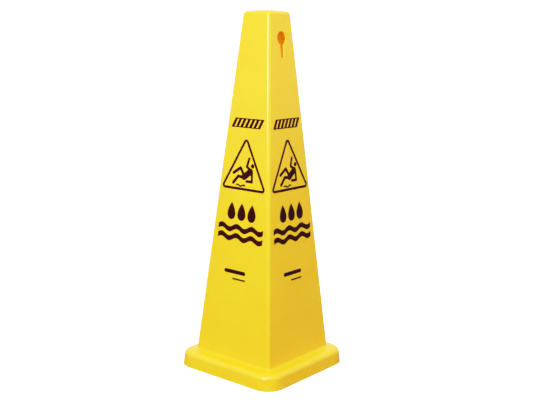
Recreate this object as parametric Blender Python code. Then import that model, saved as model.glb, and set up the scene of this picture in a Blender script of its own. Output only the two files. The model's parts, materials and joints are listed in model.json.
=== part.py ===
"""A four-sided wet floor cone: one hollow stacking moulding with printed warning marks on its walls.

Metres, +Z up. The origin is on the floor, under the middle of the base. The front wall faces -Y,
and the keyholes for a barrier chain are in the right wall (+X) and the left wall (-X).
"""
import math

import bmesh
import bpy
from mathutils import Matrix, Vector

# The moulding
CONE_HEIGHT = 1.040
BASE_HALF = 0.1833          # half the width of the skirt where it meets the floor
BASE_CORNER = 0.054         # plan radius of the skirt's corners
SKIRT_HEIGHT = 0.029        # straight part of the skirt
SKIRT_DRAFT = 0.004         # how far each side leans in over that height
SHOULDER_RADIUS = 0.0155    # rounding from the skirt to the flange's top
FLANGE_RISE = 0.125         # slope of the flange's top, up towards the wall
FOOT_HALF = 0.1450          # half-width of the walls, run down to the floor
TAPER = 0.0932              # how far a wall leans in for each metre of height
WALL_CORNER = 0.0095        # radius of the upright corners
FOOT_FILLET = 0.0035        # hollow rounding between flange and wall
TOP_ROUND = 0.011           # rounding of the top's edges
TOP_ARC_END = 82.0          # angle at which that rounding runs into the crown
TOP_CORNER = 0.0035         # plan radius of the corners there
CROWN_RISE = 0.0025         # how much higher the top's flat middle is than its edges
CROWN_FLAT = 0.022          # half-width of that flat middle
WALL = 0.003                # wall thickness everywhere
SMALLEST_CORNER = 0.001     # of the inner skin
CORNER_STEPS = 6
ARC_STEPS = 4
SHARP_ANGLE = 40.0          # edges that turn more than this are shaded sharp

# The gussets that brace the skirt from below
GUSSETS_PER_SIDE = 3
GUSSET_PITCH = 0.090
GUSSET_THICKNESS = 0.0025
GUSSET_INNER_HALF = 0.150
GUSSET_FOOT = 0.010         # height of its lower tip above the floor

# The keyholes
KEYHOLE_HEIGHT = 0.963
KEYHOLE_RADIUS = 0.018
SLOT_WIDTH = 0.012
SLOT_BOTTOM = 0.909
KEYHOLE_STEPS = 32

# The printed marks: heights are above the floor, widths are along the wall
MARK_GAP = 0.0003
MARK_THICKNESS = 0.0003
BAND_BOTTOM, BAND_TOP, BAND_WIDTH = 0.713, 0.740, 0.120
BAND_BARS, BAND_RAIL, BAND_SLANT = 7, 0.0030, 0.5
BAND_FILL = 0.62            # the part of each step that its bar takes up
TRIANGLE_BOTTOM, TRIANGLE_TOP, TRIANGLE_HALF = 0.537, 0.681, 0.079
TRIANGLE_RADIUS, TRIANGLE_STROKE = 0.0095, 0.0072
HEAD_CENTRE, HEAD_RADIUS = (0.0290, 0.6085), 0.0062
SKID_START, SKID_END, SKID_HEIGHT, SKID_STROKE = -0.028, 0.006, 0.5500, 0.0048
SKID_SWING, SKID_WAVES, SKID_STEPS = 0.0018, 1.5, 18
DROP_BOTTOM, DROP_TOP, DROP_WIDTH, DROP_PITCH = 0.450, 0.500, 0.030, 0.038
WAVE_HALF, WAVE_SWING, WAVE_STROKE, WAVE_COUNT, WAVE_STEPS = 0.084, 0.0050, 0.0150, 3, 36
WAVE_HEIGHTS = {"upper": 0.4265, "lower": 0.4005}
LINES = {"maker_bar": ((-0.050, 0.301), 0.080, 0.011), "maker_underline": ((-0.018, 0.281), 0.048, 0.0045)}

# The figure's strokes: a route of (across, up) points and a stroke width
FIGURE_STROKES = (
    (((0.0225, 0.5925), (0.0000, 0.5755)), 0.0185),
    (((0.0000, 0.5790), (-0.0145, 0.6000), (-0.0400, 0.5840)), 0.0088),
    (((0.0000, 0.5735), (-0.0210, 0.5760), (-0.0390, 0.5560)), 0.0088),
    (((0.0205, 0.5975), (0.0080, 0.6050), (0.0150, 0.6285)), 0.0078),
    (((0.0280, 0.5910), (0.0300, 0.5640), (0.0105, 0.5640)), 0.0078),
)

YELLOW = (0.896, 0.700, 0.036, 1.0)
INK = (0.034, 0.003, 0.005, 1.0)
YELLOW_ROUGHNESS = 0.28
INK_ROUGHNESS = 0.35
FACES = {"front": 0.0, "right": 90.0, "back": 180.0, "left": 270.0}


def clear_scene():
    for item in list(bpy.data.objects):
        bpy.data.objects.remove(item, do_unlink=True)


def principled(name, color, roughness):
    material = bpy.data.materials.new(name)
    material.use_nodes = True
    shader = material.node_tree.nodes["Principled BSDF"]
    shader.inputs["Base Color"].default_value = color
    shader.inputs["Roughness"].default_value = roughness
    shader.inputs["Metallic"].default_value = 0.0
    material.diffuse_color = color
    return material


def mesh_from(bm, name, material):
    bmesh.ops.recalc_face_normals(bm, faces=bm.faces)
    mesh = bpy.data.meshes.new(name)
    bm.to_mesh(mesh)
    bm.free()
    mesh.materials.append(material)
    return mesh


def add_object(name, mesh, matrix=None):
    item = bpy.data.objects.new(name, mesh)
    bpy.context.scene.collection.objects.link(item)
    if matrix is not None:
        item.matrix_world = matrix
    return item


def arc(centre, radius, start, end, steps):
    """Points on a circle, with angles in degrees."""
    for step in range(steps + 1):
        angle = math.radians(start + (end - start) * step / steps)
        yield (centre[0] + radius * math.cos(angle), centre[1] + radius * math.sin(angle))


# ---------------------------------------------------------------- the moulding

def outer_stations():
    """The outside from the rim up to the flat of the top: (half-width, height, corner radius,
    direction that the surface faces), the direction as (outwards, upwards)."""
    stations = [(BASE_HALF, 0.0, BASE_CORNER, (1.0, 0.0))]

    shoulder_half = BASE_HALF - SKIRT_DRAFT - SHOULDER_RADIUS
    shoulder_centre = (shoulder_half, SKIRT_HEIGHT)
    for half, height in arc(shoulder_centre, SHOULDER_RADIUS, 0.0, 90.0, ARC_STEPS):
        facing = ((half - shoulder_half) / SHOULDER_RADIUS, (height - SKIRT_HEIGHT) / SHOULDER_RADIUS)
        stations.append((half, height, BASE_CORNER - (BASE_HALF - half), facing))

    # The fillet's centre is its radius away from both the flange's top and the wall.
    flange_height = SKIRT_HEIGHT + SHOULDER_RADIUS
    wall_line = FOOT_HALF + FOOT_FILLET * math.hypot(1.0, TAPER)
    flange_line = flange_height + FLANGE_RISE * shoulder_half
    flange_line += FOOT_FILLET * math.hypot(1.0, FLANGE_RISE)
    centre_half = (wall_line - TAPER * flange_line) / (1.0 - TAPER * FLANGE_RISE)
    centre_height = flange_line - FLANGE_RISE * centre_half
    flange_angle = 270.0 - math.degrees(math.atan(FLANGE_RISE))
    wall_angle = 180.0 + math.degrees(math.atan(TAPER))
    fillet_centre = (centre_half, centre_height)
    for half, height in arc(fillet_centre, FOOT_FILLET, flange_angle, wall_angle, ARC_STEPS):
        facing = ((centre_half - half) / FOOT_FILLET, (centre_height - height) / FOOT_FILLET)
        corner = WALL_CORNER + FOOT_FILLET * (1.0 - facing[0])
        stations.append((half, height, corner, facing))

    round_height = CONE_HEIGHT - CROWN_RISE - TOP_ROUND
    round_half = FOOT_HALF - TAPER * round_height - TOP_ROUND * math.hypot(1.0, TAPER)
    start = math.degrees(math.atan(TAPER))
    for half, height in arc((round_half, round_height), TOP_ROUND, start, TOP_ARC_END, ARC_STEPS):
        facing = ((half - round_half) / TOP_ROUND, (height - round_height) / TOP_ROUND)
        stations.append((half, height, TOP_CORNER + (WALL_CORNER - TOP_CORNER) * facing[0], facing))
    stations.append((CROWN_FLAT, CONE_HEIGHT, CROWN_FLAT / 2.0, (0.0, 1.0)))
    return stations


def inner_stations():
    """The inside: every outer station moved in by the wall thickness."""
    inside = []
    for half, height, corner, facing in outer_stations():
        narrower = max(corner - WALL * facing[0], SMALLEST_CORNER)
        inside.append((half - WALL * facing[0], height - WALL * facing[1], narrower, facing))
    return inside


def rounded_square(bm, half, height, corner):
    """The points of a square with round corners, level at the given height."""
    verts = []
    for quarter in range(4):
        start = 90.0 * quarter
        middle = Matrix.Rotation(math.radians(start), 2) @ Vector((half - corner, half - corner))
        for x, y in arc(middle, corner, start, start + 90.0, CORNER_STEPS):
            verts.append(bm.verts.new((x, y, height)))
    return verts


def loft(bm, stations):
    """A skin over the loops of the stations, closed at both ends by a flat face."""
    loops = [rounded_square(bm, half, height, corner) for half, height, corner, _ in stations]
    for before, after in zip(loops, loops[1:]):
        for k in range(len(before)):
            along = (k + 1) % len(before)
            bm.faces.new((before[k], before[along], after[along], after[k]))
    bm.faces.new(loops[0])
    bm.faces.new(loops[-1])


def keyhole_cutter():
    """A round hole with a slot below it, as one bar that runs through the right and left walls."""
    bm = bmesh.new()
    half_slot = SLOT_WIDTH / 2.0
    meeting = math.degrees(math.asin(half_slot / KEYHOLE_RADIUS))
    centre = (0.0, KEYHOLE_HEIGHT)
    outline = list(arc(centre, KEYHOLE_RADIUS, meeting - 90.0, 270.0 - meeting, KEYHOLE_STEPS))
    outline += list(arc((0.0, SLOT_BOTTOM + half_slot), half_slot, 180.0, 360.0, KEYHOLE_STEPS // 4))
    reach = FOOT_HALF
    face = bm.faces.new([bm.verts.new((-reach, y, z)) for y, z in outline])
    pushed = bmesh.ops.extrude_face_region(bm, geom=[face])["geom"]
    moved = [item for item in pushed if isinstance(item, bmesh.types.BMVert)]
    bmesh.ops.translate(bm, verts=moved, vec=(2.0 * reach, 0.0, 0.0))
    return bm


def gusset_plates():
    """Plates that fill the angle under the flange, their outer edges buried in the moulding."""
    bm = bmesh.new()
    shoulder_half = BASE_HALF - SKIRT_DRAFT - SHOULDER_RADIUS
    buried = SHOULDER_RADIUS - WALL / 2.0
    flange_height = SKIRT_HEIGHT + SHOULDER_RADIUS - WALL / 2.0
    profile = list(arc((shoulder_half, SKIRT_HEIGHT), buried, 0.0, 90.0, ARC_STEPS))
    inner_height = flange_height + FLANGE_RISE * (shoulder_half - GUSSET_INNER_HALF)
    profile.append((GUSSET_INNER_HALF, inner_height))
    lean = SKIRT_DRAFT * (1.0 - GUSSET_FOOT / SKIRT_HEIGHT)
    profile.insert(0, (BASE_HALF - lean - WALL / 2.0, GUSSET_FOOT))
    middle = (GUSSETS_PER_SIDE - 1) / 2.0
    for side in range(4):
        turn = Matrix.Rotation(math.radians(90.0 * side), 4, "Z")
        for place in range(GUSSETS_PER_SIDE):
            offset = (place - middle) * GUSSET_PITCH - GUSSET_THICKNESS / 2.0
            face = bm.faces.new([bm.verts.new(turn @ Vector((half, offset, z))) for half, z in profile])
            pushed = bmesh.ops.extrude_face_region(bm, geom=[face])["geom"]
            moved = [item for item in pushed if isinstance(item, bmesh.types.BMVert)]
            bmesh.ops.translate(bm, verts=moved, vec=turn.to_3x3() @ Vector((0.0, GUSSET_THICKNESS, 0.0)))
    return bm


def apply_boolean(item, operation, tool):
    """A Boolean modifier on the object, with the tool kept out of the render."""
    tool.hide_render = True
    tool.display_type = "WIRE"
    change = item.modifiers.new(operation.title(), "BOOLEAN")
    change.operation = operation
    change.object = tool
    change.solver = "EXACT"


def build_cone():
    bm = bmesh.new()
    loft(bm, inner_stations()[::-1] + outer_stations())
    yellow = principled("yellow_polypropylene", YELLOW, YELLOW_ROUGHNESS)
    mesh = mesh_from(bm, "cone_body", yellow)
    mesh.shade_smooth()
    mesh.set_sharp_from_angle(angle=math.radians(SHARP_ANGLE))
    cone = add_object("cone_body", mesh)
    gussets = mesh_from(gusset_plates(), "gusset_tool", yellow)
    keyholes = mesh_from(keyhole_cutter(), "keyhole_tool", yellow)
    apply_boolean(cone, "UNION", add_object("gusset_tool", gussets))
    apply_boolean(cone, "DIFFERENCE", add_object("keyhole_tool", keyholes))
    return cone


# ---------------------------------------------------------------- the printed marks
# A mark is drawn in the plane of its wall: x across, y up the slope from floor level, z out of it.

def up_the_slope(height):
    return height * math.hypot(1.0, TAPER)


def wall_matrix(turn):
    """Places the plane of the marks on one wall."""
    slope = math.atan(TAPER)
    upright = Matrix.Rotation(math.radians(90.0) - slope, 4, "X")
    to_the_wall = Matrix.Translation((0.0, -FOOT_HALF, 0.0))
    return Matrix.Rotation(math.radians(turn), 4, "Z") @ to_the_wall @ upright


def raise_mark(bm):
    """Gives flat faces on the wall plane the thickness of a mark."""
    bmesh.ops.translate(bm, verts=bm.verts, vec=(0.0, 0.0, MARK_GAP))
    pushed = bmesh.ops.extrude_face_region(bm, geom=bm.faces[:])["geom"]
    moved = [item for item in pushed if isinstance(item, bmesh.types.BMVert)]
    bmesh.ops.translate(bm, verts=moved, vec=(0.0, 0.0, MARK_THICKNESS))
    return bm


def filled_outline(points):
    bm = bmesh.new()
    bm.faces.new([bm.verts.new((x, up_the_slope(y), 0.0)) for x, y in points])
    return raise_mark(bm)


def strip_between(left_points, right_points, closed):
    """A flat strip of faces between two lines that have as many points as each other."""
    bm = bmesh.new()
    left = [bm.verts.new((x, up_the_slope(y), 0.0)) for x, y in left_points]
    right = [bm.verts.new((x, up_the_slope(y), 0.0)) for x, y in right_points]
    count = len(left)
    for step in range(count if closed else count - 1):
        after = (step + 1) % count
        bm.faces.new((left[step], right[step], right[after], left[after]))
    return raise_mark(bm)


def hazard_band():
    """Slanted bars between two thin rails."""
    bm = bmesh.new()
    cells = 2 * BAND_BARS - 1
    heights = (BAND_BOTTOM, BAND_BOTTOM + BAND_RAIL, BAND_TOP - BAND_RAIL, BAND_TOP)
    shift = BAND_SLANT * (BAND_TOP - BAND_BOTTOM)
    pitch = (BAND_WIDTH - shift) / (BAND_BARS - 1 + BAND_FILL)
    rows = []
    for height in heights:
        start = -BAND_WIDTH / 2.0 + BAND_SLANT * (height - BAND_BOTTOM)
        across = [start + pitch * (k // 2 + BAND_FILL * (k % 2)) for k in range(cells + 1)]
        rows.append([bm.verts.new((x, up_the_slope(height), 0.0)) for x in across])
    for row, (lower, upper) in enumerate(zip(rows, rows[1:])):
        for k in range(cells):
            if row != 1 or k % 2 == 0:
                bm.faces.new((lower[k], lower[k + 1], upper[k + 1], upper[k]))
    return raise_mark(bm)


def warning_triangle():
    """A ring with three round corners; both its edges turn about the same three centres."""
    low = TRIANGLE_BOTTOM + TRIANGLE_RADIUS
    half = TRIANGLE_HALF - TRIANGLE_RADIUS
    high = TRIANGLE_TOP - TRIANGLE_RADIUS
    lean = math.degrees(math.atan2(high - low, half))
    corners = (((half, low), -90.0, 90.0 - lean), ((0.0, high), 90.0 - lean, 90.0 + lean),
               ((-half, low), 90.0 + lean, 270.0))
    outside, inside = [], []
    for centre, start, end in corners:
        outside += arc(centre, TRIANGLE_RADIUS, start, end, CORNER_STEPS)
        inside += arc(centre, TRIANGLE_RADIUS - TRIANGLE_STROKE, start, end, CORNER_STEPS)
    return strip_between(inside, outside, closed=True)


def stroke_outline(start, end, width):
    """A straight stroke with round ends."""
    angle = math.degrees(math.atan2(end[1] - start[1], end[0] - start[0]))
    points = list(arc(end, width / 2.0, angle - 90.0, angle + 90.0, CORNER_STEPS))
    points += arc(start, width / 2.0, angle + 90.0, angle + 270.0, CORNER_STEPS)
    return points


def slip_figure(material):
    """Trunk, legs and arms of a falling person, as strokes joined into one body."""
    bodies = []
    for route, width in FIGURE_STROKES:
        for start, end in zip(route, route[1:]):
            name = f"figure_stroke_{len(bodies)}"
            stroke = filled_outline(stroke_outline(start, end, width))
            bodies.append(add_object(name, mesh_from(stroke, name, material)))
    trunk = bodies[0]
    for limb in bodies[1:]:
        apply_boolean(trunk, "UNION", limb)
    bpy.context.view_layer.update()
    joined = bpy.data.meshes.new_from_object(trunk.evaluated_get(bpy.context.evaluated_depsgraph_get()))
    for body in bodies:
        bpy.data.objects.remove(body, do_unlink=True)
    return joined


def slip_head():
    points = list(arc(HEAD_CENTRE, HEAD_RADIUS, 0.0, 360.0, 4 * CORNER_STEPS))
    return filled_outline(points[:-1])


def wave_strip(start, end, height, swing, stroke, periods, steps):
    """A band of even height that rises and falls as it goes across."""
    top, bottom = [], []
    for step in range(steps + 1):
        part = step / steps
        middle = height + swing * math.sin(2.0 * math.pi * periods * part)
        across = start + (end - start) * part
        top.append((across, middle + stroke / 2.0))
        bottom.append((across, middle - stroke / 2.0))
    return strip_between(top, bottom, closed=False)


def water_drop(across):
    """A round bottom that narrows to a point at the top."""
    middle = (DROP_TOP + DROP_BOTTOM) / 2.0
    reach = (DROP_TOP - DROP_BOTTOM) / 2.0
    steps = 8 * CORNER_STEPS
    widest = 4.0 / (3.0 * math.sqrt(3.0))
    points = []
    for step in range(steps):
        turn = 2.0 * math.pi * step / steps
        narrow = math.sin(turn / 2.0)
        across_now = across + DROP_WIDTH / 2.0 / widest * math.sin(turn) * narrow
        points.append((across_now, middle + reach * math.cos(turn)))
    return filled_outline(points)


def round_ended_line(start, length, thickness):
    radius = thickness / 2.0
    first = (start[0] + radius, start[1])
    last = (start[0] + length - radius, start[1])
    return filled_outline(stroke_outline(first, last, thickness))


def build_marks():
    """The mesh of each kind of mark; each wall gets its own copy of every kind."""
    kinds = {
        "hazard_band": hazard_band(),
        "warning_triangle": warning_triangle(),
        "slip_head": slip_head(),
        "skid_mark": wave_strip(SKID_START, SKID_END, SKID_HEIGHT, SKID_SWING, SKID_STROKE,
                                SKID_WAVES, SKID_STEPS),
        "drop_left": water_drop(-DROP_PITCH),
        "drop_middle": water_drop(0.0),
        "drop_right": water_drop(DROP_PITCH),
    }
    for name, height in WAVE_HEIGHTS.items():
        kinds[f"wave_{name}"] = wave_strip(-WAVE_HALF, WAVE_HALF, height, WAVE_SWING, WAVE_STROKE,
                                           WAVE_COUNT, WAVE_STEPS)
    for name, (start, length, thickness) in LINES.items():
        kinds[name] = round_ended_line(start, length, thickness)
    meshes = {}
    for name, bm in kinds.items():
        meshes[name] = mesh_from(bm, name, principled(f"{name}_ink", INK, INK_ROUGHNESS))
    meshes["slip_figure"] = slip_figure(principled("slip_figure_ink", INK, INK_ROUGHNESS))
    return meshes


def main():
    clear_scene()
    cone = build_cone()
    for kind, mesh in build_marks().items():
        for face, turn in FACES.items():
            mark = add_object(f"{kind}_{face}", mesh, wall_matrix(turn))
            mark.parent = cone


main()
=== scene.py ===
"""A tall four-sided wet floor cone with printed marks, dressed around its CAD frame.

Metres, +Z up. The cone stands on the floor over the origin, its front wall faces -Y, and its right
wall (+X) and left wall (-X) have the keyholes. Every piece sits at the origin, its place in its mesh.
"""
import json
import logging
import math
from abc import ABC, abstractmethod
from dataclasses import dataclass, field, replace
from enum import Enum
from typing import Iterator, Optional, Sequence, Union

import bmesh
import bpy
from mathutils import Matrix, Vector

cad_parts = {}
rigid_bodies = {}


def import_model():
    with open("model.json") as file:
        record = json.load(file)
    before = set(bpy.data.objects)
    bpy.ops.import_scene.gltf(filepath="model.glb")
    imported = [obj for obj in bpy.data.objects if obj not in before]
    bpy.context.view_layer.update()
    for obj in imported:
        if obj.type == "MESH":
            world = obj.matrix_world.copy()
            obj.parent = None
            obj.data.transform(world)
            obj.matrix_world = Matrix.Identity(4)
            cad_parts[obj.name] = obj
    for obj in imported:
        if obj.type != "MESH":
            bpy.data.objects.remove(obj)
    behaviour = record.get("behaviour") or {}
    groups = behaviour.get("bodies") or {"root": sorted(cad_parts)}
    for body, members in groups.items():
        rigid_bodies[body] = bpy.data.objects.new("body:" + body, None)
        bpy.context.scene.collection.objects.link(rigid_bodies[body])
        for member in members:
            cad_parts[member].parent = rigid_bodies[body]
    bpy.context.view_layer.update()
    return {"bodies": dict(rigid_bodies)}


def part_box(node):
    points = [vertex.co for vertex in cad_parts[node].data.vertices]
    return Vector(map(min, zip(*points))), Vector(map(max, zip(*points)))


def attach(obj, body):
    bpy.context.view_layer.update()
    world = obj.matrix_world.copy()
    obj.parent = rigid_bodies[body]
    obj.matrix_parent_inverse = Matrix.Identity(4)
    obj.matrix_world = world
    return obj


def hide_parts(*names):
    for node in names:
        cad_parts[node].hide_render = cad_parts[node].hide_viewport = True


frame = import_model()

FILM_LIFT = 0.00003         # gap between a wall and the ink on it
FILM_THICKNESS = 0.00012
SMALLEST_CORNER = 0.001     # of the inner skin
MERGE_DISTANCE = 1e-6
BODY = next(iter(frame["bodies"]))
Point = tuple[float, float]
Color = tuple[float, float, float]
Socket = bpy.types.NodeSocket
Input = Union[Socket, float, Color]
log = logging.getLogger("wet_floor_cone")


class Side(Enum):
    """A wall of the cone, and the turn about +Z in degrees from the front wall to it."""

    FRONT = 0.0
    RIGHT = 90.0
    BACK = 180.0
    LEFT = 270.0


class Slot(Enum):
    """A material slot of the record."""

    YELLOW = "yellow_polypropylene"
    INK = "printed_ink"


class Boolean(Enum):
    """What a solid does with its tools."""

    JOIN = "UNION"
    CUT = "DIFFERENCE"


class Solver(Enum):
    """How a boolean is worked out."""

    EXACT = "EXACT"
    MANIFOLD = "MANIFOLD"       # gives the same mesh each run where flat sides lie together


# ------------------------------------------------------------------------------ finishes


class Shading:
    """A material's node tree and short calls for the nodes that the finishes share."""

    def __init__(self, name: str) -> None:
        """Start an empty material with a Principled shader.

        Args:
            name: The material's name.
        """
        self.material = bpy.data.materials.new(name)
        self.material.use_nodes = True
        self.tree = self.material.node_tree
        self.shader = self.tree.nodes["Principled BSDF"]
        self.place = self.tree.nodes.new("ShaderNodeTexCoord").outputs["Object"]

    def feed(self, target: Socket, value: Input) -> None:
        """Link a socket, or set its value.

        Args:
            target: The input that is fed.
            value: Another node's output, or a constant.
        """
        if isinstance(value, Socket):
            self.tree.links.new(value, target)
        else:
            target.default_value = value

    def stretched(self, scale: tuple[float, float, float]) -> Socket:
        """Scale the object coordinates.

        Args:
            scale: The scale on each axis.

        Returns:
            The coordinates.
        """
        mapping = self.tree.nodes.new("ShaderNodeMapping")
        self.feed(mapping.inputs["Vector"], self.place)
        mapping.inputs["Scale"].default_value = scale
        return mapping.outputs["Vector"]

    def height(self) -> Socket:
        """Measure the height above the floor.

        Returns:
            The height, in metres.
        """
        split = self.tree.nodes.new("ShaderNodeSeparateXYZ")
        self.feed(split.inputs[0], self.place)
        return split.outputs["Z"]

    def noise(self, scale: float, detail: float = 2.0, rough: float = 0.5,
              at: Optional[Socket] = None) -> Socket:
        """Fractal noise.

        Args:
            scale: Features for each metre.
            detail: Octaves.
            rough: How strong the small octaves are.
            at: Coordinates, or None for object coordinates.

        Returns:
            The factor, about 0 to 1.
        """
        node = self.tree.nodes.new("ShaderNodeTexNoise")
        self.feed(node.inputs["Vector"], at or self.place)
        node.inputs["Scale"].default_value = scale
        node.inputs["Detail"].default_value = detail
        node.inputs["Roughness"].default_value = rough
        return node.outputs["Fac"]

    def spread(self, value: Socket, span: Point, out: Point = (0.0, 1.0)) -> Socket:
        """Map a range smoothly onto another, and hold it at both ends.

        Args:
            value: The value to map.
            span: The start and the end of its range.
            out: The start and the end of the new range.

        Returns:
            The mapped value.
        """
        node = self.tree.nodes.new("ShaderNodeMapRange")
        node.interpolation_type = "SMOOTHSTEP"
        self.feed(node.inputs["Value"], value)
        for key, number in zip(("From Min", "From Max", "To Min", "To Max"), (*span, *out)):
            node.inputs[key].default_value = number
        return node.outputs["Result"]

    def multiply_add(self, value: Socket, by: Input, plus: Input = 0.0) -> Socket:
        """Multiply a value and add to it.

        Args:
            value: The value.
            by: What it is multiplied by.
            plus: What is added then.

        Returns:
            The result.
        """
        node = self.tree.nodes.new("ShaderNodeMath")
        node.operation = "MULTIPLY_ADD"
        for target, part in zip(node.inputs, (value, by, plus)):
            self.feed(target, part)
        return node.outputs[0]

    def blend(self, factor: Socket, first: Input, second: Input) -> Socket:
        """Mix two colours.

        Args:
            factor: 0 for the first, 1 for the second.
            first: A colour.
            second: Another colour.

        Returns:
            The mixed colour.
        """
        node = self.tree.nodes.new("ShaderNodeMix")
        node.data_type = "RGBA"
        self.feed(node.inputs[0], factor)
        color_inputs = [target for target in node.inputs if target.type == "RGBA"]
        for target, color in zip(color_inputs, (first, second)):
            self.feed(target, color if isinstance(color, Socket) else (*color, 1.0))
        return next(made for made in node.outputs if made.type == "RGBA")

    def bump(self, height: Socket, distance: float, under: Optional[Socket] = None) -> Socket:
        """Turn a height into a normal.

        Args:
            height: The height, 0 to 1.
            distance: What a height of 1 stands for, in metres.
            under: The normal that this one adds to.

        Returns:
            The normal.
        """
        node = self.tree.nodes.new("ShaderNodeBump")
        node.inputs["Distance"].default_value = distance
        self.feed(node.inputs["Height"], height)
        if under is not None:
            self.feed(node.inputs["Normal"], under)
        return node.outputs["Normal"]


@dataclass(frozen=True)
class YellowPolypropylene:
    """Gloss moulded plastic, even and bright, faintly rubbed and dusty low down."""

    name: str = "yellow_polypropylene"
    fresh: Color = (0.940, 0.560, 0.009)
    deep: Color = (0.925, 0.540, 0.008)
    rubbed: Color = (0.950, 0.680, 0.090)
    dust: Color = (0.480, 0.290, 0.060)
    tone_scale: float = 5.0
    tone_span: Point = (0.35, 0.65)
    patch_scale: float = 9.0
    patch_span: Point = (0.50, 0.70)
    streak_scale: tuple[float, float, float] = (420.0, 420.0, 4.0)
    streak_span: Point = (0.60, 0.80)
    rub_tint: float = 0.10
    rub_dulling: float = 0.16
    rub_depth: float = 0.00002
    dusty_height: float = 0.060
    grime_scale: float = 70.0
    grime_span: Point = (0.48, 0.72)
    grime_tint: float = 0.07
    grime_dulling: float = 0.08
    roughness: Point = (0.17, 0.24)
    gloss_scale: float = 30.0
    gloss_span: Point = (0.3, 0.7)
    sink_scale: float = 10.0
    sink_depth: float = 0.0004
    grain_scale: float = 380.0
    grain_depth: float = 0.00004
    refraction: float = 1.49
    glow: float = 0.5
    glow_depth: float = 0.005
    glow_radius: Color = (1.0, 0.45, 0.08)

    def build(self) -> bpy.types.Material:
        """Make the material.

        Returns:
            The material.
        """
        s = Shading(self.name)
        tone = s.spread(s.noise(self.tone_scale, detail=3.0), self.tone_span)
        patches = s.spread(s.noise(self.patch_scale, detail=2.0), self.patch_span)
        fine_lines = s.noise(1.0, detail=3.0, rough=0.6, at=s.stretched(self.streak_scale))
        rubs = s.multiply_add(s.spread(fine_lines, self.streak_span), patches)
        low = s.spread(s.height(), (0.0, self.dusty_height), (1.0, 0.0))
        specks = s.spread(s.noise(self.grime_scale, detail=6.0, rough=0.65), self.grime_span)
        grime = s.multiply_add(low, specks)

        color = s.blend(tone, self.fresh, self.deep)
        color = s.blend(s.multiply_add(rubs, self.rub_tint), color, self.rubbed)
        color = s.blend(s.multiply_add(grime, self.grime_tint), color, self.dust)
        s.feed(s.shader.inputs["Base Color"], color)

        dullness = s.spread(s.noise(self.gloss_scale, detail=4.0), self.gloss_span, self.roughness)
        dullness = s.multiply_add(rubs, self.rub_dulling, dullness)
        dullness = s.multiply_add(grime, self.grime_dulling, dullness)
        s.feed(s.shader.inputs["Roughness"], dullness)

        normal = s.bump(s.noise(self.sink_scale, detail=1.0), self.sink_depth)
        normal = s.bump(s.noise(self.grain_scale, detail=2.0), self.grain_depth, normal)
        normal = s.bump(rubs, self.rub_depth, normal)
        s.feed(s.shader.inputs["Normal"], normal)

        s.shader.inputs["IOR"].default_value = self.refraction
        s.shader.inputs["Subsurface Weight"].default_value = self.glow
        s.shader.inputs["Subsurface Radius"].default_value = self.glow_radius
        s.shader.inputs["Subsurface Scale"].default_value = self.glow_depth
        return s.material


@dataclass(frozen=True)
class ScreenInk:
    """Thin dark screen-printed ink with a warm cast, a few pinholes and worn specks."""

    name: str = "printed_ink"
    dark: Color = (0.022, 0.0008, 0.0012)
    warm: Color = (0.036, 0.0012, 0.0018)
    through: Color = (0.600, 0.380, 0.020)
    reflection: float = 0.06
    tone_scale: float = 60.0
    tone_span: Point = (0.35, 0.65)
    pinhole_scale: float = 1500.0
    pinhole_span: Point = (0.76, 0.80)
    pinhole_tint: float = 0.7
    wear_scale: float = 45.0
    wear_span: Point = (0.50, 0.66)
    roughness: Point = (0.37, 0.49)
    gloss_scale: float = 220.0
    gloss_span: Point = (0.3, 0.7)
    grain_scale: float = 900.0
    grain_depth: float = 0.00001

    def build(self) -> bpy.types.Material:
        """Make the material.

        Returns:
            The material.
        """
        s = Shading(self.name)
        s.shader.inputs["Specular IOR Level"].default_value = self.reflection
        tone = s.spread(s.noise(self.tone_scale, detail=3.0), self.tone_span)
        color = s.blend(tone, self.dark, self.warm)
        pinholes = s.spread(s.noise(self.pinhole_scale, detail=1.0), self.pinhole_span)
        worn = s.multiply_add(pinholes, s.spread(s.noise(self.wear_scale, detail=2.0), self.wear_span))
        color = s.blend(s.multiply_add(worn, self.pinhole_tint), color, self.through)
        s.feed(s.shader.inputs["Base Color"], color)
        dullness = s.spread(s.noise(self.gloss_scale, detail=3.0), self.gloss_span, self.roughness)
        s.feed(s.shader.inputs["Roughness"], dullness)
        grain = s.noise(self.grain_scale, detail=2.0)
        s.feed(s.shader.inputs["Normal"], s.bump(grain, self.grain_depth))
        return s.material


@dataclass(frozen=True)
class StudioPaper:
    """Matt paper for the floor and the backdrop, which may glow as if lit from behind."""

    name: str
    white: float
    glow: float = 0.0
    roughness: float = 0.9

    def build(self) -> bpy.types.Material:
        """Make the material.

        Returns:
            The material.
        """
        s = Shading(self.name)
        s.shader.inputs["Base Color"].default_value = (self.white, self.white, self.white, 1.0)
        s.shader.inputs["Roughness"].default_value = self.roughness
        s.shader.inputs["Specular IOR Level"].default_value = 0.0
        s.shader.inputs["Emission Color"].default_value = (1.0, 1.0, 1.0, 1.0)
        s.shader.inputs["Emission Strength"].default_value = self.glow
        return s.material


# ------------------------------------------------------------------------------ making meshes


def moved_verts(geometry: Sequence) -> list[bmesh.types.BMVert]:
    """The vertices among an operator's results."""
    return [item for item in geometry if isinstance(item, bmesh.types.BMVert)]


def push(bm: bmesh.types.BMesh, faces: Sequence[bmesh.types.BMFace], by: Vector) -> None:
    """Extrude faces by a vector into closed solids, and turn their sides outwards.

    Args:
        bm: The mesh.
        faces: The faces to extrude.
        by: How far and which way.
    """
    made = bmesh.ops.extrude_face_region(bm, geom=list(faces))["geom"]
    bmesh.ops.translate(bm, verts=moved_verts(made), vec=by)
    bmesh.ops.recalc_face_normals(bm, faces=bm.faces[:])


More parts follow.
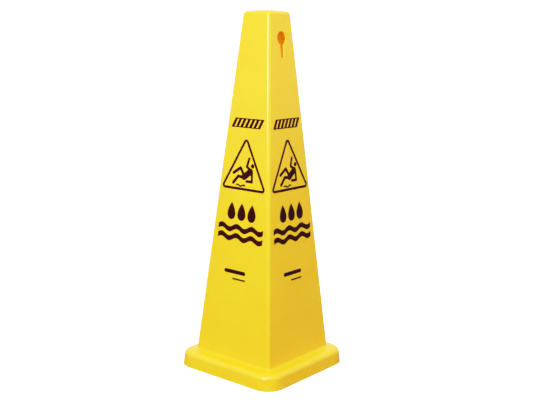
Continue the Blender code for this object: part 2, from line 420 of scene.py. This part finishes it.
def mesh_object(bm: bmesh.types.BMesh, name: str) -> bpy.types.Object:
    """Turn a bmesh into an object at the origin.

    Args:
        bm: The mesh, which is freed.
        name: The object's name.

    Returns:
        The object, linked to the scene.
    """
    mesh = bpy.data.meshes.new(name)
    bm.to_mesh(mesh)
    bm.free()
    item = bpy.data.objects.new(name, mesh)
    bpy.context.scene.collection.objects.link(item)
    return item


def combine(item: bpy.types.Object, operation: Boolean, tools: Sequence[bpy.types.Object],
            solver: Solver = Solver.EXACT) -> None:
    """Union an object with tools, or cut them out of it, and remove the tools.

    Args:
        item: The object that is changed.
        operation: What to do with the tools.
        tools: The other objects.
        solver: How to work it out.
    """
    for tool in tools:
        change = item.modifiers.new(tool.name, "BOOLEAN")
        change.operation = operation.value
        change.solver = solver.value
        change.object = tool
    bpy.context.view_layer.update()
    made = bpy.data.meshes.new_from_object(item.evaluated_get(bpy.context.evaluated_depsgraph_get()))
    item.modifiers.clear()
    item.data = made
    for tool in tools:
        bpy.data.objects.remove(tool, do_unlink=True)


def finish_piece(item: bpy.types.Object, material: bpy.types.Material,
                 nodes: Sequence[str]) -> None:
    """Dress a finished piece, hang it on the frame's body and hide the CAD nodes that it stands for.

    Args:
        item: The piece.
        material: Its finish.
        nodes: The CAD nodes that it stands for.
    """
    item.data.materials.clear()
    item.data.materials.append(material)
    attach(item, BODY)
    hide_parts(*nodes)
    log.info("%s: %d faces, stands for %s", item.name, len(item.data.polygons), ", ".join(nodes))


# ------------------------------------------------------------------------------ the moulding


@dataclass(frozen=True)
class Station:
    """One level loop of the skin: a square with round corners, and the way the skin faces there."""

    half: float
    height: float
    corner: float
    outward: float = 1.0
    upward: float = 0.0

    def moved_in(self, depth: float) -> "Station":
        """The same station on a skin that lies deeper.

        Args:
            depth: How far in, square to the skin.

        Returns:
            The inner station.
        """
        inwards, downwards = depth * self.outward, depth * self.upward
        return replace(self, half=self.half - inwards, height=self.height - downwards,
                       corner=max(self.corner - inwards, SMALLEST_CORNER))

    def points(self, steps: int) -> list[Vector]:
        """The loop's points.

        Args:
            steps: How many faces go round each corner.

        Returns:
            The points, anticlockwise from above.
        """
        inset = self.half - self.corner
        loop = []
        for quarter in range(4):
            start = 90.0 * quarter
            centre = Matrix.Rotation(math.radians(start), 2) @ Vector((inset, inset))
            loop += [Vector((x, y, self.height)) for x, y, _, _ in
                     arc(centre, self.corner, start, start + 90.0, steps)]
        return loop


class Loft:
    """A closed skin, grown by extruding its last loop and moving it onto the next loop's points."""

    def __init__(self, points: Sequence[Vector]) -> None:
        """Start with one loop, closed by a flat face.

        Args:
            points: The first loop.
        """
        self.bm = bmesh.new()
        circle = bmesh.ops.create_circle(self.bm, cap_ends=True, segments=len(points), radius=1.0)
        self.ring = circle["verts"]
        self.move_to(points)

    def move_to(self, points: Sequence[Vector]) -> None:
        """Put the last loop's vertices on a loop's points."""
        for vert, point in zip(self.ring, points):
            vert.co = point

    def grow(self, points: Sequence[Vector]) -> None:
        """Extrude the last loop and move the new one onto a loop's points.

        Args:
            points: The next loop, with as many points.
        """
        edges = [self.bm.edges.get(pair) for pair in zip(self.ring, self.ring[1:] + self.ring[:1])]
        fresh = set(moved_verts(bmesh.ops.extrude_edge_only(self.bm, edges=edges)["geom"]))
        self.ring = [next(edge.other_vert(vert) for edge in vert.link_edges
                          if edge.other_vert(vert) in fresh) for vert in self.ring]
        self.move_to(points)

    def close(self) -> bmesh.types.BMesh:
        """Close the end with a flat face, merge points that meet, and turn the skin outwards.

        Returns:
            The finished mesh.
        """
        self.bm.faces.new(self.ring)
        bmesh.ops.remove_doubles(self.bm, verts=self.bm.verts[:], dist=MERGE_DISTANCE)
        bmesh.ops.recalc_face_normals(self.bm, faces=self.bm.faces[:])
        return self.bm


def arc(centre: Point, radius: float, start: float, end: float,
        steps: int) -> Iterator[tuple[float, float, float, float]]:
    """Walk round part of a circle.

    Args:
        centre: The circle's centre.
        radius: Its radius.
        start: The first angle, in degrees.
        end: The last angle.
        steps: How many steps to take.

    Yields:
        Each point's two coordinates, and the cosine and sine of its angle.
    """
    for step in range(steps + 1):
        turn = math.radians(start + (end - start) * step / steps)
        yield (centre[0] + radius * math.cos(turn), centre[1] + radius * math.sin(turn),
               math.cos(turn), math.sin(turn))


@dataclass(frozen=True)
class WallPlane:
    """The outside of a wall as a drawing plane: x across, y up the slope from floor level, z outwards."""

    foot_half: float
    taper: float

    def up(self, height: float) -> float:
        """How far up the slope a height above the floor is."""
        return height * math.hypot(1.0, self.taper)

    def matrix(self, side: Side) -> Matrix:
        """Go from the drawing plane to a wall.

        Args:
            side: Which wall.

        Returns:
            The transform.
        """
        upright = Matrix.Rotation(math.radians(90.0) - math.atan(self.taper), 4, "X")
        return (Matrix.Rotation(math.radians(side.value), 4, "Z")
                @ Matrix.Translation((0.0, -self.foot_half, 0.0)) @ upright)


@dataclass(frozen=True)
class Keyhole:
    """A round hole with a slot below it, in the right wall and the left wall, for a barrier chain."""

    height: float = 0.963
    radius: float = 0.018
    slot_width: float = 0.012
    slot_bottom: float = 0.909
    steps: int = 60
    outer_round: float = 0.0026
    inner_round: float = 0.0003
    outer_steps: int = 7
    inner_steps: int = 2
    spare: float = 0.004
    overlap: float = 0.00002

    def outline(self, plane: WallPlane, wider: float, z: float) -> list[Vector]:
        """The keyhole's outline.

        Args:
            plane: The wall's drawing plane.
            wider: How far outside the hole's own edge.
            z: How far outside the wall.

        Returns:
            The points.
        """
        radius, half = self.radius + wider, self.slot_width / 2.0 + wider
        meeting = math.degrees(math.asin(half / radius))
        low = plane.up(self.slot_bottom) + self.slot_width / 2.0
        around = [*arc((0.0, plane.up(self.height)), radius, meeting - 90.0, 270.0 - meeting, self.steps),
                  *arc((0.0, low), half, 180.0, 360.0, self.steps // 3)]
        return [Vector((x, y, z)) for x, y, _, _ in around]

    def cutter(self, plane: WallPlane, side: Side, wall: float) -> bpy.types.Object:
        """Make the tool that cuts it with a widely rounded outer edge, where hand and chain go.

        Args:
            plane: The wall's drawing plane.
            side: Which wall.
            wall: The wall's thickness.

        Returns:
            The tool.
        """
        outer, inner = self.outer_round, self.inner_round
        stations = [(outer, self.spare)]
        stations += [(wider, z + self.overlap) for wider, z, _, _ in
                     arc((outer, -outer), outer, 90.0, 180.0, self.outer_steps)]
        stations += [(wider, z) for wider, z, _, _ in
                     arc((inner, inner - wall), inner, 180.0, 270.0, self.inner_steps)]
        stations.append((inner, -wall - self.spare))
        loft = Loft(self.outline(plane, *stations[0]))
        for wider, z in stations[1:]:
            loft.grow(self.outline(plane, wider, z))
        tool = mesh_object(loft.close(), f"keyhole_tool_{side.name.lower()}")
        tool.data.transform(plane.matrix(side))
        return tool


@dataclass(frozen=True)
class Gussets:
    """Thin three-cornered plates under the flange that brace the skirt."""

    per_side: int = 3
    pitch: float = 0.090
    thickness: float = 0.0025
    inner_half: float = 0.150
    foot: float = 0.010
    rounding: float = 0.0007
    rounding_steps: int = 2
    profile_steps: int = 4

    def build(self, profile: Sequence[Point]) -> bpy.types.Object:
        """Make all the plates as one tool.

        Args:
            profile: A plate's corners as (distance from the middle, height), the buried ones included.

        Returns:
            The tool.
        """
        bm = bmesh.new()
        middle = (self.per_side - 1) / 2.0
        for place in range(self.per_side):
            across = (place - middle) * self.pitch - self.thickness / 2.0
            face = bm.faces.new([bm.verts.new((half, across, height)) for half, height in profile])
            push(bm, [face], Vector((0.0, self.thickness, 0.0)))
        bmesh.ops.bevel(bm, geom=bm.edges[:], offset=self.rounding, segments=self.rounding_steps, profile=0.5,
                        affect="EDGES", material=-1, clamp_overlap=True)
        plates = bm.faces[:] + bm.edges[:] + bm.verts[:]
        for quarter in (1, 2, 3):
            copied = bmesh.ops.duplicate(bm, geom=plates)["geom"]
            bmesh.ops.rotate(bm, verts=moved_verts(copied), cent=(0.0, 0.0, 0.0),
                             matrix=Matrix.Rotation(math.radians(90.0 * quarter), 3, "Z"))
        return mesh_object(bm, "gusset_tool")


@dataclass(frozen=True)
class ConeMoulding:
    """The one-piece cone: tapered walls, closed top, flange and skirt, hollow and open below."""

    base_half: float
    cone_height: float
    base_corner: float = 0.054
    skirt_height: float = 0.029
    skirt_draft: float = 0.004
    shoulder_radius: float = 0.0155
    flange_rise: float = 0.125
    foot_half: float = 0.1450
    taper: float = 0.0932
    wall_corner: float = 0.0095
    foot_fillet: float = 0.0035
    top_round: float = 0.011
    top_arc_end: float = 82.0
    top_corner: float = 0.0035
    crown_rise: float = 0.0025
    crown_flat: float = 0.022
    wall: float = 0.003
    rim_round: float = 0.0008
    rim_steps: int = 3
    corner_steps: int = 14
    arc_steps: int = 8
    wall_loops: int = 7
    loop_pitch: float = 0.12
    sharp_angle: float = 50.0
    gate_radius: float = 0.0065
    gate_depth: float = 0.0008
    gate_profile: tuple[Point, ...] = ((1.0, 0.0), (0.93, 0.35), (0.84, 1.0), (0.42, 1.0), (0.36, 0.7),
                                       (0.30, 0.45))
    keyhole: Keyhole = field(default_factory=Keyhole)
    gussets: Gussets = field(default_factory=Gussets)

    @classmethod
    def from_frame(cls) -> "ConeMoulding":
        """Take the overall sizes from the CAD node."""
        low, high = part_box("cone_body")
        return cls(base_half=high.x, cone_height=high.z - low.z)

    def plane(self) -> WallPlane:
        """The drawing plane of the walls."""
        return WallPlane(self.foot_half, self.taper)

    def half_at(self, height: float) -> float:
        """Half the cone's width between its walls, at a height."""
        return self.foot_half - self.taper * height

    def shoulder_half(self) -> float:
        """How far out the middle of the shoulder's rounding is."""
        return self.base_half - self.skirt_draft - self.shoulder_radius

    def skirt(self) -> Iterator[Station]:
        """Go up the skirt from the rim, and round to the flange's top.

        Yields:
            The stations.
        """
        rim = (self.base_half - self.rim_round, self.rim_round)
        for half, height, _, _ in arc(rim, self.rim_round, -90.0, 0.0, self.rim_steps):
            yield Station(half, height, self.base_corner - (self.base_half - half))
        centre = (self.shoulder_half(), self.skirt_height)
        for half, height, outward, upward in arc(centre, self.shoulder_radius, 0.0, 90.0, self.arc_steps):
            yield Station(half, height, self.base_corner - (self.base_half - half), outward, upward)

    def foot(self) -> Iterator[Station]:
        """Go round the hollow where the flange turns up into the walls.

        Its centre is its radius away from both the flange's top and the wall.

        Yields:
            The stations.
        """
        radius = self.foot_fillet
        wall_line = self.foot_half + radius * math.hypot(1.0, self.taper)
        flange_line = (self.skirt_height + self.shoulder_radius + self.flange_rise * self.shoulder_half()
                       + radius * math.hypot(1.0, self.flange_rise))
        half = (wall_line - self.taper * flange_line) / (1.0 - self.taper * self.flange_rise)
        centre = (half, flange_line - self.flange_rise * half)
        start = 270.0 - math.degrees(math.atan(self.flange_rise))
        end = 180.0 + math.degrees(math.atan(self.taper))
        for half, height, outward, upward in arc(centre, radius, start, end, self.arc_steps):
            yield Station(half, height, self.wall_corner + radius * (1.0 + outward), -outward, -upward)

    def walls(self) -> Iterator[Station]:
        """Go up the walls as far as the keyholes.

        Yields:
            The stations.
        """
        facing = math.atan(self.taper)
        for loop in range(1, self.wall_loops + 1):
            height = self.cone_height * self.loop_pitch * loop
            yield Station(self.half_at(height), height, self.wall_corner, math.cos(facing), math.sin(facing))

    def top(self) -> Iterator[Station]:
        """Go round the edge of the top and over its low crown.

        Yields:
            The stations.
        """
        radius = self.top_round
        low = self.cone_height - self.crown_rise - radius
        centre = (self.half_at(low) - radius * math.hypot(1.0, self.taper), low)
        start = math.degrees(math.atan(self.taper))
        for half, height, outward, upward in arc(centre, radius, start, self.top_arc_end, self.arc_steps):
            corner = self.top_corner + (self.wall_corner - self.top_corner) * outward
            yield Station(half, height, corner, outward, upward)
        yield Station(self.crown_flat, self.cone_height, self.crown_flat / 2.0, 0.0, 1.0)

    def gate(self) -> Iterator[Station]:
        """Go into the small round dimple where the plastic was fed in, with its trimmed stub.

        Yields:
            The stations.
        """
        for part, sunk in self.gate_profile:
            radius = self.gate_radius * part
            yield Station(radius, self.cone_height - self.gate_depth * sunk, radius, 0.0, 1.0)

    def gusset_profile(self) -> list[Point]:
        """Outline a gusset; all but its free edge lies inside the wall's thickness.

        Returns:
            Its corners, as (distance from the middle, height).
        """
        centre = (self.shoulder_half(), self.skirt_height)
        buried = self.shoulder_radius - self.wall / 2.0
        lean = self.skirt_draft * (1.0 - self.gussets.foot / self.skirt_height)
        points = [(self.base_half - lean - self.wall / 2.0, self.gussets.foot)]
        points += [(half, height) for half, height, _, _ in
                   arc(centre, buried, 0.0, 90.0, self.gussets.profile_steps)]
        under = self.skirt_height + self.shoulder_radius - self.wall / 2.0
        inner = self.gussets.inner_half
        points.append((inner, under + self.flange_rise * (centre[0] - inner)))
        return points

    def build(self, material: bpy.types.Material) -> bpy.types.Object:
        """Make the moulding.

        Args:
            material: The yellow plastic.

        Returns:
            The piece.
        """
        outside = [*self.skirt(), *self.foot(), *self.walls(), *self.top()]
        inside = [station.moved_in(self.wall) for station in reversed(outside)]
        loft = Loft(inside[0].points(self.corner_steps))
        for station in (*inside[1:], *outside, *self.gate()):
            loft.grow(station.points(self.corner_steps))
        cone = mesh_object(loft.close(), "cone_moulding")
        combine(cone, Boolean.JOIN, [self.gussets.build(self.gusset_profile())])
        combine(cone, Boolean.CUT, [self.keyhole.cutter(self.plane(), side, self.wall)
                                    for side in (Side.RIGHT, Side.LEFT)])
        cone.data.shade_smooth()
        cone.data.set_sharp_from_angle(angle=math.radians(self.sharp_angle))
        weighted = cone.modifiers.new("even_walls", "WEIGHTED_NORMAL")
        weighted.keep_sharp = True
        finish_piece(cone, material, ["cone_body"])
        return cone


# ------------------------------------------------------------------------------ the printed marks


class Pen:
    """Draws one closed outline in the plane of the marks with straight runs and arcs, and fills it."""

    def __init__(self, start: Point) -> None:
        """Put the pen down at a point."""
        self.bm = bmesh.new()
        self.verts = [self.bm.verts.new((*start, 0.0))]

    def line(self, end: Point) -> "Pen":
        """Draw straight to a point."""
        self.verts.append(self.bm.verts.new((*end, 0.0)))
        return self

    def arc(self, centre: Point, degrees: float, steps: int) -> "Pen":
        """Draw round a centre from where the pen is.

        Args:
            centre: The arc's centre.
            degrees: How far to turn, anticlockwise.
            steps: How many straight steps to take.

        Returns:
            The pen.
        """
        middle = Vector((*centre, 0.0))
        arm = self.verts[-1].co - middle
        for step in range(1, steps + 1):
            turned = Matrix.Rotation(math.radians(degrees * step / steps), 3, "Z") @ arm
            self.verts.append(self.bm.verts.new(middle + turned))
        return self

    def fill(self) -> bmesh.types.BMesh:
        """Close the outline with a face.

        Returns:
            The mesh, with that face.
        """
        bmesh.ops.remove_doubles(self.bm, verts=self.bm.verts[:], dist=MERGE_DISTANCE)
        self.bm.faces.new([vert for vert in self.verts if vert.is_valid])
        self.bm.normal_update()
        return self.bm


@dataclass(frozen=True)
class Mark(ABC):
    """One kind of printed mark. Its place and size are those of its CAD node on the front wall."""

    kind: str
    plane: WallPlane

    def box(self) -> tuple[float, float, float, float]:
        """The mark's left, bottom, right and top in the plane of the marks."""
        low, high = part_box(f"{self.kind}_{Side.FRONT.name.lower()}")
        return low.x, self.plane.up(low.z), high.x, self.plane.up(high.z)

    @abstractmethod
    def film(self) -> bpy.types.Object:
        """Make one film of ink in the plane of the marks."""

    def build(self, material: bpy.types.Material) -> None:
        """Print the mark on all four walls.

        Args:
            material: The ink.
        """
        pattern = self.film()
        for side in Side:
            name = f"{self.kind}_{side.name.lower()}"
            mesh = pattern.data.copy()
            mesh.transform(self.plane.matrix(side))
            mesh.name = f"{name}_film"
            item = bpy.data.objects.new(f"{name}_film", mesh)
            bpy.context.scene.collection.objects.link(item)
            finish_piece(item, material, [name])
        bpy.data.objects.remove(pattern, do_unlink=True)


@dataclass(frozen=True)
class DrawnMark(Mark):
    """A mark that is drawn as flat faces, which then get their thickness."""

    @abstractmethod
    def draw(self) -> bmesh.types.BMesh:
        """Draw the mark's flat faces."""

    def film(self) -> bpy.types.Object:
        """Make one film of ink in the plane of the marks.

        Returns:
            The film.
        """
        bm = self.draw()
        bmesh.ops.translate(bm, verts=bm.verts[:], vec=(0.0, 0.0, FILM_LIFT))
        push(bm, bm.faces[:], Vector((0.0, 0.0, FILM_THICKNESS)))
        return mesh_object(bm, self.kind)


@dataclass(frozen=True)
class HazardBand(DrawnMark):
    """Slanted bars between two rails. A bar takes up the filled part of each step."""

    bars: int = 7
    fill: float = 0.62
    rail: float = 0.0030
    slant: float = 0.5

    def draw(self) -> bmesh.types.BMesh:
        """Draw a grid of cells, empty every second middle cell, and slant it.

        Returns:
            The flat faces.
        """
        left, bottom, right, top = self.box()
        shift = self.slant * (top - bottom)
        cells = 2 * self.bars - 1
        pitch = (right - left - shift) / (self.bars - 1 + self.fill)
        heights = (bottom, bottom + self.rail, top - self.rail, top)
        rows = len(heights) - 1
        bm = bmesh.new()
        bmesh.ops.create_grid(bm, x_segments=cells, y_segments=rows, size=0.5)
        middle_row = [face for face in bm.faces if abs(face.calc_center_median().y) < 0.5 / rows]
        middle_row.sort(key=lambda face: face.calc_center_median().x)
        bmesh.ops.delete(bm, geom=middle_row[1::2], context="FACES_ONLY")
        loose = [edge for edge in bm.edges if not edge.link_faces]
        bmesh.ops.delete(bm, geom=loose, context="EDGES")
        for vert in bm.verts:
            height = heights[round((vert.co.y + 0.5) * rows)]
            bar, side = divmod(round((vert.co.x + 0.5) * cells), 2)
            across = left + pitch * (bar + self.fill * side)
            vert.co = (across + self.slant * (height - bottom), height, 0.0)
        return bm


@dataclass(frozen=True)
class WarningTriangle(DrawnMark):
    """A triangular ring with three round corners."""

    radius: float = 0.0095
    stroke: float = 0.0072
    steps: int = 14

    def draw(self) -> bmesh.types.BMesh:
        """Draw the outside with arcs about three centres, and inset it by the stroke.

        Returns:
            The flat faces.
        """
        left, bottom, right, top = self.box()
        low, high = bottom + self.radius, top - self.radius
        half = (right - left) / 2.0 - self.radius
        lean = math.degrees(math.atan2(high - low, half))
        pen = Pen((half, bottom)).arc((half, low), 180.0 - lean, self.steps)
        tip = Matrix.Rotation(math.radians(90.0 - lean), 2) @ Vector((self.radius, 0.0))
        pen.line((tip.x, high + tip.y)).arc((0.0, high), 2.0 * lean, self.steps)
        pen.line((-half - tip.x, low + tip.y)).arc((-half, low), 180.0 - lean, self.steps)
        bm = pen.fill()
        inner = bm.faces[:]
        bmesh.ops.inset_region(bm, faces=inner, thickness=self.stroke, use_even_offset=True,
                               use_boundary=True)
        bmesh.ops.delete(bm, geom=inner, context="FACES_ONLY")
        return bm


@dataclass(frozen=True)
class Disc(DrawnMark):
    """A filled round."""

    steps: int = 48

    def draw(self) -> bmesh.types.BMesh:
        """Draw a filled circle.

        Returns:
            The flat faces.
        """
        left, bottom, right, top = self.box()
        bm = bmesh.new()
        place = Matrix.Translation(((left + right) / 2.0, (bottom + top) / 2.0, 0.0))
        radius = (right - left) / 2.0
        bmesh.ops.create_circle(bm, cap_ends=True, segments=self.steps, radius=radius, matrix=place)
        return bm


@dataclass(frozen=True)
class RoundBar(DrawnMark):
    """A straight bar with round ends."""

    steps: int = 14

    def draw(self) -> bmesh.types.BMesh:
        """Draw two straight runs and two half circles.

        Returns:
            The flat faces.
        """
        left, bottom, right, top = self.box()
        radius = (top - bottom) / 2.0
        middle = (bottom + top) / 2.0
        pen = Pen((left + radius, bottom)).line((right - radius, bottom))
        pen.arc((right - radius, middle), 180.0, self.steps).line((left + radius, top))
        return pen.arc((left + radius, middle), 180.0, self.steps).fill()


@dataclass(frozen=True)
class WaterDrop(DrawnMark):
    """A round bottom that narrows to a point at the top."""

    steps: int = 96

    def draw(self) -> bmesh.types.BMesh:
        """Draw a circle and pinch its top.

        Returns:
            The flat faces.
        """
        left, bottom, right, top = self.box()
        bm = bmesh.new()
        circle = bmesh.ops.create_circle(bm, cap_ends=True, segments=self.steps, radius=1.0)
        widest = 4.0 / (3.0 * math.sqrt(3.0))  # half the pinched circle's width, a third of the way up
        for vert in circle["verts"]:
            across = vert.co.x * math.sqrt(max(0.0, (1.0 - vert.co.y) / 2.0)) / widest
            vert.co = ((left + right) / 2.0 + (right - left) / 2.0 * across,
                       (bottom + top) / 2.0 + (top - bottom) / 2.0 * vert.co.y, 0.0)
        return bm


@dataclass(frozen=True)
class WaveBand(DrawnMark):
    """A band of even height that rises and falls as it goes across."""

    stroke: float = 0.015
    periods: float = 3.0
    steps: int = 96

    def draw(self) -> bmesh.types.BMesh:
        """Draw a strip of cells and bend it.

        Returns:
            The flat faces.
        """
        left, bottom, right, top = self.box()
        swing = (top - bottom - self.stroke) / 2.0
        middle = (bottom + top) / 2.0
        bm = bmesh.new()
        bmesh.ops.create_grid(bm, x_segments=self.steps, y_segments=1, size=0.5)
        for vert in bm.verts:
            part = vert.co.x + 0.5
            wave = swing * math.sin(2.0 * math.pi * self.periods * part)
            vert.co = (left + part * (right - left), middle + wave + vert.co.y * self.stroke, 0.0)
        return bm


@dataclass(frozen=True)
class SlipFigure(Mark):
    """The trunk, legs and arms of a falling person, as strokes joined into one film.

    Each stroke is a route of (across, height) points and its width.
    """

    strokes: tuple[tuple[tuple[Point, ...], float], ...] = (
        (((0.0225, 0.5925), (0.0000, 0.5755)), 0.0185),
        (((0.0000, 0.5790), (-0.0145, 0.6000), (-0.0400, 0.5840)), 0.0088),
        (((0.0000, 0.5735), (-0.0210, 0.5760), (-0.0390, 0.5560)), 0.0088),
        (((0.0205, 0.5975), (0.0080, 0.6050), (0.0150, 0.6285)), 0.0078),
        (((0.0280, 0.5910), (0.0300, 0.5640), (0.0105, 0.5640)), 0.0078),
    )
    steps: int = 10
    thick: float = 0.010

    def stroke_object(self, start: Point, end: Point, width: float) -> bpy.types.Object:
        """Make one straight stroke with round ends, thick enough to join well.

        Args:
            start: Where it starts.
            end: Where it ends.
            width: Its width.

        Returns:
            The stroke.
        """
        first = Vector((start[0], self.plane.up(start[1])))
        last = Vector((end[0], self.plane.up(end[1])))
        side = (last - first).normalized().orthogonal() * width / 2.0
        pen = Pen((first - side)[:]).line((last - side)[:]).arc(last[:], 180.0, self.steps)
        bm = pen.line((first + side)[:]).arc(first[:], 180.0, self.steps).fill()
        push(bm, bm.faces[:], Vector((0.0, 0.0, self.thick)))
        return mesh_object(bm, "stroke_tool")

    def film(self) -> bpy.types.Object:
        """Join the strokes as thick solids, then flatten them to a film.

        Returns:
            The film.
        """
        pieces = [self.stroke_object(start, end, width) for route, width in self.strokes
                  for start, end in zip(route, route[1:])]
        combine(pieces[0], Boolean.JOIN, pieces[1:], Solver.MANIFOLD)
        flatten = Matrix.Diagonal((1.0, 1.0, FILM_THICKNESS / self.thick, 1.0))
        pieces[0].data.transform(Matrix.Translation((0.0, 0.0, FILM_LIFT)) @ flatten)
        return pieces[0]


# ------------------------------------------------------------------------------ the studio


@dataclass(frozen=True)
class Softbox:
    """A rectangular lamp that stands round the cone and faces it. Its azimuth is from the front wall."""

    name: str
    azimuth: float
    distance: float
    height: float
    width: float
    tall: float
    watts: float
    aim_height: float = 0.85
    diffuse: bool = True
    glossy: bool = True

    def build(self) -> bpy.types.Object:
        """Make the lamp.

        Returns:
            The lamp.
        """
        lamp = bpy.data.lights.new(self.name, "AREA")
        lamp.shape = "RECTANGLE"
        lamp.size, lamp.size_y = self.width, self.tall
        lamp.energy = self.watts
        item = bpy.data.objects.new(self.name, lamp)
        turn = math.radians(self.azimuth)
        item.location = (math.sin(turn) * self.distance, -math.cos(turn) * self.distance, self.height)
        aim = Vector((0.0, 0.0, self.aim_height)) - item.location
        item.rotation_euler = aim.to_track_quat("-Z", "Y").to_euler()
        item.visible_diffuse = self.diffuse
        item.visible_glossy = self.glossy
        bpy.context.scene.collection.objects.link(item)
        return item


@dataclass(frozen=True)
class SoakLamp:
    """A small warm lamp in the cone's hollow, for the daylight that soaks through its thin walls."""

    height: float = 0.90
    radius: float = 0.015
    watts: float = 0.07
    color: Color = (1.0, 0.75, 0.45)

    def build(self) -> bpy.types.Object:
        """Make the lamp.

        Returns:
            The lamp.
        """
        lamp = bpy.data.lights.new("soak_lamp", "POINT")
        lamp.energy = self.watts
        lamp.color = self.color
        lamp.shadow_soft_size = self.radius
        item = bpy.data.objects.new("soak_lamp", lamp)
        item.location = (0.0, 0.0, self.height)
        item.visible_camera = False
        item.visible_glossy = False
        bpy.context.scene.collection.objects.link(item)
        return item


@dataclass(frozen=True)
class Studio:
    """The pale floor, the soft light and the camera. Angles are in degrees."""

    azimuth: float = 39.80
    distance: float = 2.600
    eye_height: float = 0.987
    pitch: float = 10.68
    pan: float = -0.135
    roll: float = 0.78
    lens: float = 61.15
    sensor: float = 36.0
    reach: float = 40.0
    paper_gap: float = 0.0002
    paper_steps: int = 96
    floor: StudioPaper = StudioPaper("floor_paper", white=0.86, glow=0.95)
    bounce: StudioPaper = StudioPaper("bounce_paper", white=0.35)
    surround: StudioPaper = StudioPaper("backdrop_paper", white=0.0, glow=2.0)
    surround_radius: float = 39.2
    sky: float = 0.85
    softboxes: tuple[Softbox, ...] = (
        Softbox("key_softbox", azimuth=20.0, distance=2.8, height=1.7, width=0.8, tall=1.1, watts=50.0),
        Softbox("high_softbox", azimuth=50.0, distance=1.3, height=2.4, width=0.9, tall=0.9, watts=16.5),
        Softbox("rear_softbox", azimuth=200.0, distance=2.6, height=2.0, width=1.2, tall=1.2, watts=28.0,
                glossy=False),
        Softbox("glint_strip", azimuth=8.0, distance=2.8, height=1.45, width=0.3, tall=0.7, watts=30.0,
                diffuse=False),
    )
    brightest: float = 2.0
    tones: tuple[Point, ...] = ((0.0, 0.0), (0.35, 0.378), (0.70, 0.756), (1.0, 0.885), (1.6, 1.0))

    def camera(self) -> None:
        """Stand the camera in front of the cone's near corner, above the middle of its height."""
        data = bpy.data.cameras.new("camera")
        data.sensor_width = self.sensor
        data.lens = self.lens
        item = bpy.data.objects.new("camera", data)
        round_turn = math.radians(self.azimuth)
        place = Vector((math.sin(round_turn), -math.cos(round_turn), 0.0)) * self.distance
        item.matrix_world = (Matrix.Translation(place + Vector((0.0, 0.0, self.eye_height)))
                             @ Matrix.Rotation(math.radians(self.azimuth + self.pan), 4, "Z")
                             @ Matrix.Rotation(math.radians(90.0 - self.pitch), 4, "X")
                             @ Matrix.Rotation(math.radians(self.roll), 4, "Z"))
        bpy.context.scene.collection.objects.link(item)
        bpy.context.scene.camera = item

    def sheet(self, name: str, paper: StudioPaper, height: float, seen: bool) -> None:
        """Lay a round sheet of paper on the floor.

        Args:
            name: The sheet's name.
            paper: Its finish.
            height: Where it lies.
            seen: True for the sheet that is looked at, False for the one that bounces light.
        """
        bm = bmesh.new()
        bmesh.ops.create_circle(bm, cap_ends=True, segments=self.paper_steps, radius=self.reach,
                                matrix=Matrix.Translation((0.0, 0.0, height)))
        item = mesh_object(bm, name)
        item.data.materials.append(paper.build())
        item.visible_camera = seen
        for flag in ("visible_diffuse", "visible_glossy", "visible_transmission"):
            setattr(item, flag, not seen)

    def backdrop(self) -> None:
        """Put a white globe of paper round everything, to look at only."""
        bm = bmesh.new()
        bmesh.ops.create_uvsphere(bm, u_segments=self.paper_steps // 2, v_segments=self.paper_steps // 4,
                                  radius=self.surround_radius)
        item = mesh_object(bm, "backdrop")
        item.data.materials.append(self.surround.build())
        for flag in ("visible_diffuse", "visible_glossy", "visible_transmission", "visible_shadow"):
            setattr(item, flag, False)

    def light(self) -> None:
        """Light the front wall more than the right wall, from a large lamp left of the camera."""
        world = bpy.data.worlds.new("studio")
        bpy.context.scene.world = world
        world.use_nodes = True
        background = world.node_tree.nodes["Background"]
        background.inputs["Color"].default_value = (1.0, 1.0, 1.0, 1.0)
        background.inputs["Strength"].default_value = self.sky
        for lamp in (*self.softboxes, SoakLamp()):
            lamp.build()

    def develop(self) -> None:
        """Give the picture a plain display look with a soft shoulder in the lights."""
        view = bpy.context.scene.view_settings
        view.view_transform = "Standard"
        view.use_curve_mapping = True
        view.curve_mapping.clip_max_x = self.brightest
        *_, all_channels = view.curve_mapping.curves
        points = all_channels.points
        for number, tone in enumerate(self.tones):
            if number < len(points):
                points[number].location = tone
            else:
                points.new(*tone)
        view.curve_mapping.update()

    def build(self) -> None:
        """Set up the whole studio."""
        self.camera()
        self.sheet("floor", self.floor, -self.paper_gap, seen=True)
        self.sheet("bounce_floor", self.bounce, -2.0 * self.paper_gap, seen=False)
        self.backdrop()
        self.light()
        self.develop()


def main() -> None:
    """Build the cone, print its marks and light it."""
    logging.basicConfig(level=logging.INFO, format="%(name)s: %(message)s")
    Studio().build()
    moulding = ConeMoulding.from_frame()
    moulding.build(YellowPolypropylene().build())

    plane = moulding.plane()
    ink = ScreenInk().build()
    marks = [HazardBand("hazard_band", plane), WarningTriangle("warning_triangle", plane),
             SlipFigure("slip_figure", plane), Disc("slip_head", plane),
             WaveBand("skid_mark", plane, stroke=0.0048, periods=1.5)]
    marks += [WaterDrop(f"drop_{place}", plane) for place in ("left", "middle", "right")]
    marks += [WaveBand(f"wave_{place}", plane) for place in ("upper", "lower")]
    marks += [RoundBar(name, plane) for name in ("maker_bar", "maker_underline")]
    for mark in marks:
        mark.build(ink)


if __name__ == "__main__":
    main()
